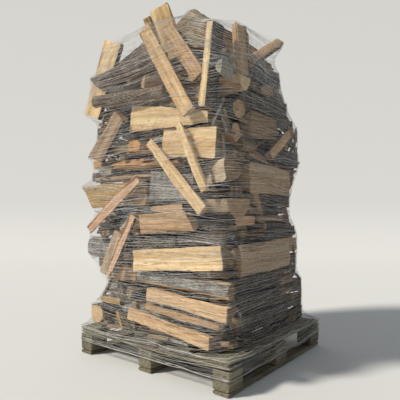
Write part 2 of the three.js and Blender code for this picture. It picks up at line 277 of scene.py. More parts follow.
def weathered_board(name, light, dark):
    """Old sawn board: grey brown fibres, darker checks along the grain, dirt in slow patches."""
    add, finished = new_look(name, 0.86)
    place = add("ShaderNodeAttribute", attribute_name="grain").outputs["Vector"]
    object_place = add("ShaderNodeTexCoord").outputs["Object"]
    fine = fibres(add, place, 260, 0.3)
    broad = fibres(add, place, 60, 1.7)
    patch = noise(add, object_place, 7, 3)
    mid = tuple((a + b) / 2 for a, b in zip(light, dark))
    colour = ramp(add, broad, [(0.30, dark), (0.45, mid), (0.62, light)])
    streaks = [(0.34, (0.35, 0.34, 0.32)), (0.5, (0.95, 0.95, 0.95)), (0.7, (1.15, 1.12, 1.05))]
    colour = shaded(add, 0.75, colour, fine, streaks)
    colour = shaded(add, 0.8, colour, patch, [(0.35, (0.62, 0.62, 0.63)), (0.6, (1, 1, 1))])
    return finished(colour, 0.45, 0.0012, fine)


pallet_face = weathered_board("pallet_sawn_face", PALLET_LIGHT, PALLET_DARK)
pallet_end = weathered_board("pallet_sawn_end", tuple(0.8 * c for c in PALLET_LIGHT), PALLET_DARK)
held_places = []
for number, node in enumerate(sorted(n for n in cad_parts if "board" in n or "block" in n)):
    low, high = (np.array(corner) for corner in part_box(node))
    span = high - low
    run = int(np.argmax(span))
    one, two = [axis for axis in range(3) if axis != run]
    turn = EDGE_WEAR
    outline = []
    for u, v in ((turn, 0), (span[one] - turn, 0), (span[one], turn), (span[one], span[two] - turn),
                 (span[one] - turn, span[two]), (turn, span[two]), (0, span[two] - turn), (0, turn)):
        corner = low.copy()
        corner[one] += u
        corner[two] += v
        outline.append(corner)
    first = np.array(outline)
    last = first.copy()
    last[:, run] = high[run]
    body = carried(first, last, [0] * 8, 300 + number, 0.012, 0.03, sawn_relief, 0.001)
    board = new_piece("sawn_" + node, body[0], body[1], [pallet_face, pallet_face, pallet_end],
                      body[3], body[4], 30, body[2])
    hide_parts(node)
    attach(board, "root")
    held_places.append(body[0])


# Split logs: half-metre lengths of hardwood, sawn square at both ends and split by a wedge.
# Split faces are pale and fibrous, bark stays on the outer side, and ends show growth rings.
# Each one follows the faces of its own solid, with fibres and bark pressed into them.
TONES = {
    "cream": ((0.86, 0.66, 0.38), (0.60, 0.40, 0.19)),
    "tan": ((0.66, 0.46, 0.26), (0.40, 0.25, 0.125)),
    "pink": ((0.74, 0.49, 0.31), (0.50, 0.28, 0.15)),
    "ochre": ((0.50, 0.34, 0.14), (0.27, 0.165, 0.06)),
    "orange": ((0.74, 0.42, 0.15), (0.46, 0.24, 0.08)),
    "brown": ((0.40, 0.28, 0.17), (0.22, 0.145, 0.085)),
    "grey": ((0.42, 0.385, 0.33), (0.22, 0.20, 0.17)),
    "dull": ((0.56, 0.42, 0.27), (0.33, 0.235, 0.145)),
    "pale": ((0.64, 0.55, 0.41), (0.38, 0.31, 0.22)),
    "straw": ((0.78, 0.55, 0.32), (0.52, 0.34, 0.18)),
    # Olive is ochre darkened, made as painted shade for a face in shade
    "olive": ((0.34, 0.255, 0.135), (0.21, 0.15, 0.075)),
}
BARKS = {
    "dark": ((0.072, 0.062, 0.052), (0.19, 0.168, 0.14)),
    "brown": ((0.10, 0.074, 0.050), (0.30, 0.235, 0.165)),
    "silver": ((0.15, 0.145, 0.13), (0.60, 0.59, 0.56)),
}

# Each log's tone, the tone of its ends, its bark, and the way the barked side faces
HIDDEN = (0.1, 0.75, -0.65)
LOG_LOOKS = {
    "front_log_1": ("cream", "tan", "dark", HIDDEN), "front_log_2": ("cream", "tan", "dark", HIDDEN),
    "front_log_3": ("cream", "tan", "dark", HIDDEN), "front_log_4": ("pink", "tan", "dark", HIDDEN),
    "front_log_5": ("pink", "tan", "dark", HIDDEN), "front_log_6": ("cream", "brown", "dark", HIDDEN),
    "front_log_7": ("cream", "brown", "silver", (0.1, -0.9, 0.1)),
    "front_log_8": ("straw", "brown", "silver", HIDDEN), "front_log_9": ("straw", "brown", "dark", HIDDEN),
    "front_log_10": ("cream", "tan", "dark", HIDDEN),
    "front_log_11": ("brown", "brown", "brown", (0, -0.9, 0.3)),
    "front_log_12": ("brown", "brown", "brown", (0, -0.9, 0.2)),
    "front_log_13": ("cream", "tan", "dark", (1.0, 0.3, 0)),
    "front_log_14": ("orange", "orange", "dark", (0, 0.2, 1)),
    "front_log_15": ("cream", "brown", "dark", HIDDEN),
    "front_log_16": ("pale", "brown", "dark", HIDDEN),
    "front_log_17": ("cream", "tan", "dark", HIDDEN), "front_log_18": ("cream", "tan", "dark", HIDDEN),
    "front_log_19": ("tan", "brown", "dark", HIDDEN), "front_log_20": ("brown", "tan", "dark", HIDDEN),
    "front_log_21": ("orange", "orange", "dark", HIDDEN), "front_log_22": ("ochre", "tan", "dark", HIDDEN),
    "front_log_23": ("dull", "tan", "dark", HIDDEN),
    "front_log_24": ("grey", "brown", "silver", (0, -0.9, 0.2)),
    "front_log_25": ("tan", "tan", "dark", HIDDEN),
    "front_log_26": ("brown", "straw", "dark", (0.3, 0.3, 0.9)),
    # top_log_1 lies in shade: its dark ochre face and olive ends are painted shade
    "top_log_1": ("ochre", "olive", "dark", (0.7, 0.0, 0.7)), "top_log_2": ("cream", "tan", "dark", HIDDEN),
    "top_log_3": ("ochre", "ochre", "dark", HIDDEN), "right_log_1": ("dull", "tan", "dark", HIDDEN),
    "right_log_2": ("dull", "tan", "dark", HIDDEN), "right_log_3": ("dull", "tan", "dark", (0, 0, -1)),
    "right_log_4": ("tan", "tan", "dark", HIDDEN), "right_log_5": ("brown", "tan", "dark", HIDDEN),
    "right_log_6": ("tan", "tan", "dark", HIDDEN), "right_log_7": ("tan", "cream", "dark", HIDDEN),
    "right_log_8": ("tan", "tan", "dark", HIDDEN),
}
BARK_FROM = 0.45


def split_wood(name, light, dark):
    """Freshly split wood: long wavy fibres, warmer heartwood bands, thin dark checks."""
    add, finished = new_look(name, 0.74)
    place = add("ShaderNodeAttribute", attribute_name="grain").outputs["Vector"]
    bent = swirled(add, place, 9, 2, (0.012, 0.012, 0.0))
    fine = fibres(add, bent, 330, 0.9)
    broad = fibres(add, bent, 55, 2.1, 3)
    band = fibres(add, bent, 14, 3.7, 2)
    mid = tuple(0.55 * a + 0.45 * b for a, b in zip(light, dark))
    colour = ramp(add, broad, [(0.28, dark), (0.46, mid), (0.60, light)])
    colour = shaded(add, 0.8, colour, band, [(0.38, (0.80, 0.70, 0.60)), (0.58, (1, 1, 1))])
    streaks = [(0.30, (0.42, 0.36, 0.30)), (0.44, (0.88, 0.86, 0.84)), (0.62, (1.1, 1.1, 1.1))]
    colour = shaded(add, 0.7, colour, fine, streaks)
    squeezed = add("ShaderNodeMapping", {"Vector": place, "Scale": (1, 1, 0.35)}).outputs[0]
    speck = noise(add, squeezed, 75, 4, 0.65)
    colour = shaded(add, 0.85, colour, speck, [(0.30, (0.50, 0.36, 0.22)), (0.43, (1, 1, 1))])
    height = add("ShaderNodeMath", {0: fine, 1: broad}, operation="ADD").outputs[0]
    return finished(colour, 0.6, 0.002, height)


def end_wood(name, light, dark):
    """Sawn end: growth rings round the heart and faint saw marks."""
    add, finished = new_look(name, 0.82)
    place = add("ShaderNodeAttribute", attribute_name="grain").outputs["Vector"]
    centred = add("ShaderNodeMapping", {"Vector": place, "Location": (0.012, -0.03, 0), "Scale": (1, 1, 0)})
    wobble = noise(add, place, 26, 3)
    radius = add("ShaderNodeVectorMath", {0: centred.outputs[0]}, operation="LENGTH").outputs["Value"]
    ring = add("ShaderNodeMath", {0: radius, 1: 1500.0}, operation="MULTIPLY").outputs[0]
    ring = add("ShaderNodeMath", {0: wobble, 1: 7.0, 2: ring}, operation="MULTIPLY_ADD").outputs[0]
    ring = add("ShaderNodeMath", {0: ring}, operation="SINE").outputs[0]
    ring = add("ShaderNodeMath", {0: ring, 1: 0.5, 2: 0.5}, operation="MULTIPLY_ADD").outputs[0]
    speck = noise(add, place, 420, 2)
    patch = noise(add, place, 22, 3)
    colour = ramp(add, patch, [(0.33, dark), (0.62, light)])
    colour = shaded(add, 0.30, colour, ring, [(0.0, (0.66, 0.60, 0.54)), (0.7, (1, 1, 1))])
    colour = shaded(add, 0.5, colour, speck, [(0.35, (0.5, 0.46, 0.42)), (0.6, (1, 1, 1))])
    height = add("ShaderNodeMath", {0: speck, 1: ring}, operation="ADD").outputs[0]
    return finished(colour, 0.4, 0.001, height)


def bark_skin(name, dark, light):
    """Bark: long plates parted by dark furrows, flaking to a paler grey.
    The furrows' darkness is partly the bark's own colour and partly painted shade.
    """
    add, finished = new_look(name, 0.92)
    place = add("ShaderNodeAttribute", attribute_name="grain").outputs["Vector"]
    stretched = add("ShaderNodeMapping", {"Vector": place, "Scale": (1, 1, 0.42)}).outputs[0]
    bent = swirled(add, stretched, 60, 3, (0.012, 0.012, 0.012))
    cells = add("ShaderNodeTexVoronoi", {"Vector": bent, "Scale": 85}, feature="DISTANCE_TO_EDGE")
    plate = cells.outputs["Distance"]
    flake = noise(add, stretched, 150, 5, 0.7)
    slow = noise(add, place, 12, 2)
    mid = tuple(0.5 * a + 0.5 * b for a, b in zip(light, dark))
    colour = ramp(add, flake, [(0.34, dark), (0.5, mid), (0.68, light)])
    # Darker towards the plate edges, in the furrows: partly bark colour, partly painted shade
    colour = shaded(add, 1.0, colour, plate, [(0.0, (0.60, 0.57, 0.55)), (0.22, (1, 1, 1))])
    colour = shaded(add, 0.8, colour, slow, [(0.35, (0.55, 0.52, 0.50)), (0.62, (1.15, 1.12, 1.1))])
    rise = add("ShaderNodeMath", {0: plate, 1: 2.0, 2: flake}, operation="MULTIPLY_ADD").outputs[0]
    return finished(colour, 0.5, 0.004, rise)


split_finish = {tone: split_wood(f"split_{tone}", light, dark) for tone, (light, dark) in TONES.items()}
end_finish = {tone: end_wood(f"end_{tone}", tuple(0.9 * c for c in light), dark)
              for tone, (light, dark) in TONES.items()}
bark_finish = {kind: bark_skin(f"bark_{kind}", dark, light) for kind, (dark, light) in BARKS.items()}


def log_relief(finish, grain, seed):
    """Split faces (0) have torn fibres 1 to 3 mm deep and a slow twist up to 9 mm deep; bark (1)
    has plates and furrows up to 5 mm deep, longer along the log than across it."""
    torn = waves(grain, seed, (0.011, 0.011, 0.16), 18)
    hair = waves(grain, seed + 1, (0.005, 0.005, 0.07), 14)
    twist = waves(grain, seed + 2, (0.09, 0.09, 0.35), 7)
    split = 0.0012 + 0.0009 * torn + 0.0004 * hair + 0.0032 * (1 + twist)
    plate = np.abs(waves(grain, seed + 3, (0.020, 0.020, 0.05), 16))
    crust = waves(grain, seed + 4, (0.008, 0.008, 0.014), 16)
    bark = 0.0036 - 0.0020 * np.clip(plate, 0, 1.3) + 0.0005 * crust + 0.0015 * (1 + twist)
    return np.clip(np.where(finish == 1, bark, split), 0.0, 0.0110)


def log_outlines(node):
    """The two end outlines of a log's solid, in matching order.
    The ends are the two faces with no corner in common that hold half of all corners each;
    of several such pairs, the one whose middles lie farthest apart."""
    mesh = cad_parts[node].data
    flat = np.empty(len(mesh.vertices) * 3, np.float32)
    mesh.vertices.foreach_get("co", flat)
    corners = np.unique(np.round(flat.reshape(-1, 3).astype(float), 5), axis=0)
    normals = np.array([p.normal for p in mesh.polygons])
    centres = np.array([p.center for p in mesh.polygons])
    on_face = np.abs(corners @ normals.T - (centres * normals).sum(axis=1)) < 2e-4
    best = None
    for a in np.flatnonzero(on_face.sum(axis=0) * 2 == len(corners)):
        for b in np.flatnonzero((on_face == ~on_face[:, a:a + 1]).all(axis=0)):
            away = np.linalg.norm(corners[on_face[:, a]].mean(axis=0) - corners[on_face[:, b]].mean(axis=0))
            if best is None or away > best[0] + 1e-6:
                best = (away, a, b)
    _, a, b = best
    first, last = corners[on_face[:, b]], corners[on_face[:, a]]
    normal = unit(last.mean(axis=0) - first.mean(axis=0))
    helper = np.array([0.0, 0.0, 1.0]) if abs(normal[2]) < 0.9 else np.array([1.0, 0.0, 0.0])
    across = unit(np.cross(normal, helper))
    upright = np.cross(normal, across)
    ordered = []
    for ring in (first, last):
        spread = ring - ring.mean(axis=0)
        ordered.append(ring[np.argsort(np.arctan2(spread @ upright, spread @ across))])
    first, last = ordered
    run = last.mean(axis=0) - first.mean(axis=0)
    shifts = [np.abs(first + run - np.roll(last, k, axis=0)).sum() for k in range(len(last))]
    return first, np.roll(last, int(np.argmin(shifts)), axis=0)


def side_finish(first, last, barked):
    """0 for a split side and 1 for bark, for each outline edge, from the way it faces."""
    return (side_normals(first, last) @ np.array(barked) > BARK_FROM).astype(int)


log_shapes = []
for number, (node, (tone, end_tone, bark, barked)) in enumerate(LOG_LOOKS.items()):
    first, last = log_outlines(node)
    kind = side_finish(first, last, barked)
    body = carried(first, last, kind, 40 + 11 * number, 0.0055, 0.011, log_relief)
    shift = np.random.default_rng(900 + number).uniform(-0.004, 0.004, 3) * (1, 1, 0)
    grain = body[4] + shift + (0, 0, 3.1 * number)
    looks = [split_finish[tone], bark_finish[bark], end_finish[end_tone]]
    log = new_piece("split_" + node, body[0], body[1], looks, body[3], grain, 38, body[2])
    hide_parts(node)
    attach(log, "root")
    log_shapes.append((first, last))
    held_places.append(body[0])

# Closely packed logs: everything behind and between the outer ones, and the far sides.
# The same split hardwood, thrown in with less order; each is a separate length of wood.
# They lie loose on the deck and on each other, and the net holds them in.
PACK_LENGTH = (0.36, 0.49)
PACK_WIDTH = (0.085, 0.150)
PACK_DEPTH = (0.060, 0.110)
PACK_TONES = ["tan", "brown", "grey", "cream", "ochre", "pink", "dull", "pale", "olive"]
# Dark tones for the smaller filling logs and the pieces set in lines of sight: painted shade for the inside
# of the pile
PAINTED_SHADE_TONES = ["brown", "olive"]

# The room they fill, by levels: height, left, right, front, back, how far the front reaches left
# and how far the right reaches back
FORM = np.array([
    (0.151, -0.470, 0.425, -0.420, 0.450, -0.450, 0.425),
    (0.250, -0.466, 0.425, -0.420, 0.450, -0.435, 0.415),
    (0.370, -0.458, 0.422, -0.418, 0.450, -0.310, 0.410),
    (0.450, -0.462, 0.420, -0.418, 0.445, -0.365, 0.315),
    (0.560, -0.485, 0.418, -0.416, 0.440, -0.470, 0.350),
    (0.640, -0.490, 0.416, -0.416, 0.435, -0.465, 0.365),
    (0.780, -0.482, 0.412, -0.414, 0.435, -0.395, 0.205),
    (0.931, -0.490, 0.415, -0.414, 0.440, -0.475, 0.268),
    (1.070, -0.486, 0.418, -0.415, 0.448, -0.465, 0.385),
    (1.200, -0.476, 0.415, -0.412, 0.450, -0.455, 0.362),
    (1.300, -0.470, 0.410, -0.410, 0.446, -0.430, 0.366),
    (1.350, -0.468, 0.405, -0.408, 0.440, -0.440, 0.245),
    (1.500, -0.455, 0.395, -0.400, 0.420, -0.436, 0.195),
    (1.610, -0.430, 0.375, -0.380, 0.395, -0.405, 0.155),
    (1.700, -0.340, 0.300, -0.300, 0.330, -0.325, 0.200),
])
FORM_SLACK = 0.010
DECK_TOP = 0.1515

# Logs seen between the outer ones are listed: both ends of the visible face, the way it
# faces, its width at both ends, the depth, the tone and the bark
SEEN = [
    ((-0.05, -0.425, 0.305), (0.41, -0.425, 0.272), "front", (0.036, 0.034), 0.05, "tan", None),
    ((-0.02, -0.425, 0.205), (0.37, -0.425, 0.182), "front", (0.05, 0.045), 0.06, "cream", None),
    ((-0.215, -0.425, 0.612), (0.15, -0.425, 0.645), "front", (0.05, 0.05), 0.05, "brown", "dark"),
    ((0.17, -0.425, 0.648), (0.43, -0.425, 0.668), "front", (0.05, 0.05), 0.05, "brown", "dark"),
    ((0.26, -0.425, 0.712), (0.435, -0.425, 0.728), "front", (0.016, 0.075), 0.05, "cream", None),
    ((-0.02, -0.425, 0.925), (0.26, -0.425, 0.900), "front", (0.15, 0.13), 0.07, "grey", "silver"),
    ((-0.42, -0.42, 0.655), (-0.13, -0.42, 0.845), "front", (0.09, 0.09), 0.06, "grey", "dark"),
    ((0.00, -0.44, 0.800), (0.21, -0.44, 0.802), "front", (0.03, 0.05), 0.05, "tan", None),
    ((-0.26, -0.42, 0.822), (-0.10, -0.42, 0.818), "front", (0.05, 0.05), 0.05, "olive", None),
    ((-0.48, -0.42, 1.055), (-0.395, -0.42, 1.060), "front", (0.06, 0.05), 0.05, "tan", None),
    ((-0.42, -0.415, 1.020), (-0.33, -0.415, 1.020), "front", (0.055, 0.055), 0.05, "grey", None),
    ((-0.28, -0.42, 0.215), (-0.13, -0.42, 0.200), "front", (0.075, 0.075), 0.05, "brown", "brown"),
    ((-0.29, -0.43, 0.455), (-0.115, -0.43, 0.470), "front", (0.09, 0.08), 0.05, "tan", None),
    ((-0.43, -0.42, 1.478), (-0.12, -0.42, 1.500), "front", (0.05, 0.07), 0.06, "brown", "brown"),
    ((-0.50, -0.42, 0.985), (-0.03, -0.42, 0.985), "front", (0.058, 0.058), 0.06, "brown", "dark"),
    ((-0.38, -0.425, 1.118), (-0.16, -0.425, 1.130), "front", (0.042, 0.038), 0.05, "cream", None),
    ((-0.13, -0.42, 0.82), (-0.13, 0.0, 0.82), "left", (0.06, 0.06), 0.09, "brown", None),
    ((-0.42, -0.42, 1.325), (-0.12, -0.42, 1.335), "front", (0.07, 0.07), 0.06, "brown", "dark"),
    ((-0.42, -0.41, 0.298), (-0.26, -0.41, 0.300), "front", (0.035, 0.04), 0.05, "ochre", None),
    ((-0.375, -0.44, 0.185), (-0.285, -0.44, 0.182), "front", (0.05, 0.05), 0.05, "brown", None),
    ((-0.335, -0.43, 0.425), (-0.215, -0.43, 0.410), "front", (0.05, 0.07), 0.05, "dull", None),
    ((-0.325, -0.42, 0.345), (-0.225, -0.42, 0.350), "front", (0.05, 0.05), 0.05, "brown", "brown"),
    ((-0.225, -0.46, 0.262), (-0.180, -0.46, 0.176), "front", (0.022, 0.018), 0.015, "ochre", None),
    ((-0.32, -0.41, 0.360), (-0.11, -0.41, 0.388), "front", (0.05, 0.09), 0.06, "ochre", None),
    ((-0.45, -0.43, 1.01), (-0.27, -0.43, 0.88), "front", (0.018, 0.018), 0.018, "cream", None),
    ((-0.45, -0.42, 1.24), (-0.16, -0.42, 1.245), "front", (0.06, 0.06), 0.06, "grey", "dark"),
    ((-0.46, -0.40, 0.50), (-0.16, -0.40, 0.52), "front", (0.06, 0.07), 0.06, "brown", "brown"),
    ((-0.36, -0.39, 1.585), (0.00, -0.39, 1.675), "front", (0.05, 0.11), 0.06, "brown", "brown"),
    ((0.20, -0.39, 1.475), (0.35, -0.39, 1.455), "front", (0.11, 0.11), 0.05, "dull", None),
    ((0.25, -0.39, 1.36), (0.38, -0.39, 1.35), "front", (0.09, 0.09), 0.05, "brown", None),
    ((0.43, -0.38, 0.49), (0.43, -0.36, 0.64), "right", (0.085, 0.085), 0.05, "ochre", None),
    ((0.425, -0.31, 0.74), (0.425, -0.13, 0.745), "right", (0.05, 0.05), 0.05, "pink", None),
    ((0.425, -0.17, 0.96), (0.425, -0.03, 0.66), "right", (0.08, 0.07), 0.05, "tan", None),
    ((0.425, -0.07, 0.86), (0.425, 0.26, 0.86), "right", (0.10, 0.10), 0.06, "brown", "dark"),
    ((0.43, -0.37, 0.90), (0.43, -0.36, 1.05), "right", (0.07, 0.07), 0.05, "ochre", None),
    ((0.425, -0.265, 0.90), (0.425, -0.265, 1.05), "right", (0.11, 0.11), 0.05, "brown", None),
    ((0.42, -0.32, 1.198), (0.42, -0.20, 1.205), "right", (0.022, 0.022), 0.02, "tan", None),
    ((0.42, -0.14, 1.10), (0.42, 0.03, 1.19), "right", (0.02, 0.02), 0.02, "tan", None),
    ((0.452, -0.455, 1.430), (0.452, -0.365, 1.415), "right", (0.075, 0.085), 0.04, "grey", None),
    ((0.42, -0.05, 1.42), (0.42, 0.08, 1.440), "right", (0.045, 0.050), 0.05, "brown", None),
    ((0.43, -0.305, 1.20), (0.43, -0.215, 1.14), "right", (0.06, 0.09), 0.05, "tan", None),
    ((0.43, -0.235, 0.790), (0.43, -0.14, 0.755), "right", (0.09, 0.06), 0.06, "dull", None),
    ((0.42, 0.03, 1.435), (0.12, 0.03, 1.435), "top", (0.09, 0.09), 0.05, "brown", None),
    ((0.41, -0.185, 1.56), (0.40, -0.180, 1.71), "right", (0.03, 0.03), 0.03, "brown", "dark"),
    ((0.40, -0.15, 1.58), (0.39, -0.145, 1.70), "right", (0.05, 0.04), 0.04, "ochre", None),
    ((0.42, -0.20, 1.34), (0.42, 0.24, 1.36), "right", (0.09, 0.09), 0.06, "grey", "dark"),
    ((0.41, -0.18, 1.50), (0.41, 0.18, 1.52), "right", (0.10, 0.10), 0.06, "grey", "dark"),
    ((0.42, -0.36, 0.44), (0.42, 0.12, 0.43), "right", (0.075, 0.075), 0.06, "brown", "dark"),
    ((0.42, -0.30, 0.345), (0.42, 0.18, 0.335), "right", (0.09, 0.09), 0.06, "grey", "dark"),
    ((0.42, -0.26, 0.245), (0.42, 0.22, 0.235), "right", (0.09, 0.09), 0.06, "brown", "dark"),
    ((0.42, 0.02, 0.665), (0.42, 0.33, 0.68), "right", (0.06, 0.06), 0.06, "grey", "dark"),
    ((0.42, 0.10, 1.10), (0.42, 0.38, 1.09), "right", (0.09, 0.09), 0.06, "brown", "dark"),
    ((0.43, -0.22, 0.172), (0.43, 0.27, 0.172), "right", (0.036, 0.036), 0.05, "brown", "dark"),
    ((0.42, 0.33, 0.192), (0.41, 0.445, 0.195), "right", (0.075, 0.075), 0.07, "brown", "dark"),
    ((0.42, 0.33, 0.275), (0.405, 0.445, 0.270), "right", (0.085, 0.080), 0.07, "grey", "dark"),
    ((0.42, 0.32, 0.362), (0.395, 0.44, 0.355), "right", (0.085, 0.080), 0.07, "brown", "dark"),
    ((0.41, 0.30, 0.440), (0.375, 0.435, 0.445), "right", (0.070, 0.070), 0.07, "grey", "dark"),
    ((0.405, 0.31, 0.516), (0.380, 0.43, 0.514), "right", (0.065, 0.065), 0.05, "brown", "dark"),
    ((0.41, 0.29, 0.600), (0.385, 0.43, 0.595), "right", (0.085, 0.080), 0.07, "dull", None),
    ((0.405, 0.20, 0.735), (0.345, 0.41, 0.735), "right", (0.075, 0.080), 0.07, "brown", "dark"),
    ((0.41, 0.29, 1.015), (0.375, 0.42, 1.020), "right", (0.075, 0.075), 0.07, "brown", "dark"),
    ((0.41, 0.29, 1.215), (0.370, 0.42, 1.215), "right", (0.080, 0.080), 0.07, "brown", "dark"),
    ((0.41, 0.26, 1.300), (0.355, 0.42, 1.300), "right", (0.080, 0.080), 0.07, "grey", "dark"),
    ((0.40, 0.17, 1.432), (0.340, 0.36, 1.432), "right", (0.085, 0.085), 0.07, "brown", "dark"),
]

# Round logs seen end on at the right: the middle of the end, its width, its height and its tone
SEEN_ENDS = [
    ((0.425, -0.275, 1.275), 0.12, 0.10, "tan"),
]
OUTWARD = {"front": (0, -1, 0), "right": (1, 0, 0), "top": (0, 0, 1), "left": (-1, 0, 0)}
SEEN_FROM = np.array((1.520, -1.985, 0.777))
BACK_LIMIT = 0.455
PUSH_MOST = 0.26
PUSH_STEP = 0.008


def faces_of(first, last):
    """The planes of a straight log as outward normals and distances, both ends last."""
    middle = (first.mean(axis=0) + last.mean(axis=0)) / 2
    edge = np.roll(first, -1, axis=0) - first
    normal = np.cross(edge, np.roll(last, -1, axis=0) - first)
    ends = [np.cross(ring[2] - ring[0], ring[4] - ring[0]) for ring in (last, first)]
    normal = units(np.concatenate([normal, ends]))
    seat = np.concatenate([first, last[:1], first[:1]])
    normal *= np.sign(((seat - middle) * normal).sum(axis=1))[:, None]
    return normal, (seat * normal).sum(axis=1)


def probe_of(first, last):
    """Points in a log: its outline at nine stations, shrunk by four millimetres, the outline
    shrunk to half, and the line through the middle."""
    t = np.linspace(0.01, 0.99, 9)[:, None, None]
    ring = first * (1 - t) + last * t
    core = ring.mean(axis=1, keepdims=True)
    edge_mid = (ring + np.roll(ring, -1, axis=1)) / 2
    near = np.concatenate([ring, edge_mid], axis=1)
    size = np.linalg.norm(near - core, axis=2, keepdims=True)
    tight = core + (near - core) * (1 - 0.004 / size)
    halved = core + (near - core) * 0.5
    return np.concatenate([part.reshape(-1, 3) for part in (tight, halved, core)])


class Pile:
    """The logs laid so far, as padded planes and probe points, to test a new one against.
    A log is clear when no probe point of one lies more than a millimetre inside the other."""

    PLANES = 14
    INSIDE = -0.001
    NEAR = 0.62

    def __init__(self):
        self.normals = []
        self.reaches = []
        self.probes = []
        self.middles = []

    def add(self, first, last):
        normal, reach = faces_of(first, last)
        pad = self.PLANES - len(reach)
        self.normals.append(np.concatenate([normal, np.zeros((pad, 3))]))
        self.reaches.append(np.concatenate([reach, np.ones(pad)]))
        self.probes.append(probe_of(first, last))
        self.middles.append(np.concatenate([first, last]).mean(axis=0))

    def clear(self, first, last):
        middle = np.concatenate([first, last]).mean(axis=0)
        near = [i for i, m in enumerate(self.middles) if np.linalg.norm(m - middle) < self.NEAR]
        if not near:
            return True
        probe = probe_of(first, last)
        normals = np.stack([self.normals[i] for i in near])
        reaches = np.stack([self.reaches[i] for i in near])
        depth = np.einsum("pk,ijk->pij", probe, normals) - reaches[None]
        if (depth < self.INSIDE).all(axis=2).any():
            return False
        normal, reach = faces_of(first, last)
        others = np.concatenate([self.probes[i] for i in near])
        return not ((others @ normal.T - reach) < self.INSIDE).all(axis=1).any()


# Cross-sections of packed logs, one unit wide and deep: wedges, a half round and a round
SHAPES = [
    np.array([(-0.5, 0.36), (0.48, 0.42), (0.40, 0.05), (0.18, -0.36), (-0.1, -0.5), (-0.4, -0.2)]),
    np.array([(-0.5, -0.1), (-0.38, 0.26), (-0.12, 0.46), (0.16, 0.48), (0.42, 0.24), (0.5, -0.1),
              (0.04, -0.5)]),
    np.array([(-0.48, 0.1), (0.0, 0.5), (0.5, 0.02), (0.34, -0.34), (-0.02, -0.5), (-0.34, -0.32)]),
    np.array([(-0.5, 0.3), (0.5, 0.26), (0.46, -0.2), (0.1, -0.44), (-0.42, -0.3)]),
    np.array([(-0.5, 0.02), (-0.36, 0.36), (0.02, 0.5), (0.34, 0.37), (0.5, 0.0), (0.37, -0.34),
              (0.0, -0.5), (-0.35, -0.38)]),
]


def loose_log(middle, along, spin, width, depth, length, shape):
    """End outlines of a log: the shape scaled to width and depth, spun about the log's line,
    and set half a length each way from the middle."""
    along = unit(along)
    helper = np.array([0.0, 0.0, 1.0]) if abs(along[2]) < 0.8 else np.array([1.0, 0.0, 0.0])
    across = unit(np.cross(helper, along))
    upright = np.cross(along, across)
    c, s = math.cos(spin), math.sin(spin)
    u = shape[:, 0] * width
    v = shape[:, 1] * depth
    ring = np.outer(u * c - v * s, across) + np.outer(u * s + v * c, upright)
    return middle + ring - along * length / 2, middle + ring + along * length / 2


def faced_log(start, end, outward, widths, depth):
    """End outlines of a log whose outer face runs from start to end, flat, with a wedge behind."""
    shape = np.array([(-0.5, 0), (0.5, 0), (0.46, -0.4), (0.22, -0.86), (-0.1, -1.0), (-0.4, -0.6)])
    start, end = np.array(start), np.array(end)
    along = unit(end - start)
    out = np.array(outward)
    out = unit(out - along * (out @ along))
    side = np.cross(along, out)
    return [place + np.outer(shape[:, 0] * width, side) + np.outer(shape[:, 1] * depth, out)
            for place, width in zip((start, end), widths)]


def form_at(height):
    """The form's limits at a height, in the order of its columns."""
    return [np.interp(height, FORM[:, 0], FORM[:, column]) for column in range(1, 7)]


def in_form(points):
    """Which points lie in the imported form: its rings, joined by straight lines between levels,
    with all four upright corners cut off at a slant."""
    x, y, z = points[..., 0], points[..., 1], points[..., 2]
    left, right, front, back, front_left, right_back = form_at(z)
    good = (z > DECK_TOP) & (z < FORM[-1, 0])
    good &= (x > left - FORM_SLACK) & (x < right + FORM_SLACK)
    good &= (y > front - FORM_SLACK) & (y < back + FORM_SLACK)
    good &= (y - front) + 0.84 * (x - front_left) > -FORM_SLACK
    good &= (right - x) + 0.5 * (right_back - y) > -FORM_SLACK
    good &= (right - x) + (y - front) > 0.03
    good &= (x - left) + (back - y) > 0.10
    return good


pile = Pile()
for first, last in log_shapes:
    pile.add(first, last)
draw = np.random.default_rng(20)
packed = []

# Some outer logs lie deeper than the pile's side. The way from them to the viewer stays open,
# over the length given for each, for a slimmer and shorter outline of the log.
WAY_SLIM = 0.7
WAY_TRIM = 0.08
WAY_START = 0.03
WAY_STEP = 0.025
WAY_SHORT = 0.16
WAY_LONG = 0.25
DEEPER = {
    "front_log_10": WAY_SHORT, "front_log_11": WAY_SHORT, "front_log_15": WAY_SHORT,
    "front_log_16": WAY_LONG, "front_log_17": WAY_LONG, "front_log_18": WAY_SHORT,
    "front_log_21": WAY_SHORT, "front_log_22": WAY_SHORT, "front_log_23": WAY_SHORT,
    "right_log_5": WAY_SHORT,
}
open_ways = []
for node, reach in DEEPER.items():
    first, last = log_shapes[list(LOG_LOOKS).index(node)]
    sight = unit((first.mean(axis=0) + last.mean(axis=0)) / 2 - SEEN_FROM)
    trim = WAY_TRIM * (last.mean(axis=0) - first.mean(axis=0))
    first = first.mean(axis=0) + WAY_SLIM * (first - first.mean(axis=0)) + trim
    last = last.mean(axis=0) + WAY_SLIM * (last - last.mean(axis=0)) - trim
    for out in np.arange(WAY_START, reach, WAY_STEP):
        open_ways.append((first - sight * out, last - sight * out))
for first, last in open_ways:
    pile.add(first, last)


def lay(first, last, tone, bark, kind):
    """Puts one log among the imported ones."""
    pile.add(first, last)
    packed.append((first, last, tone, bark, kind))
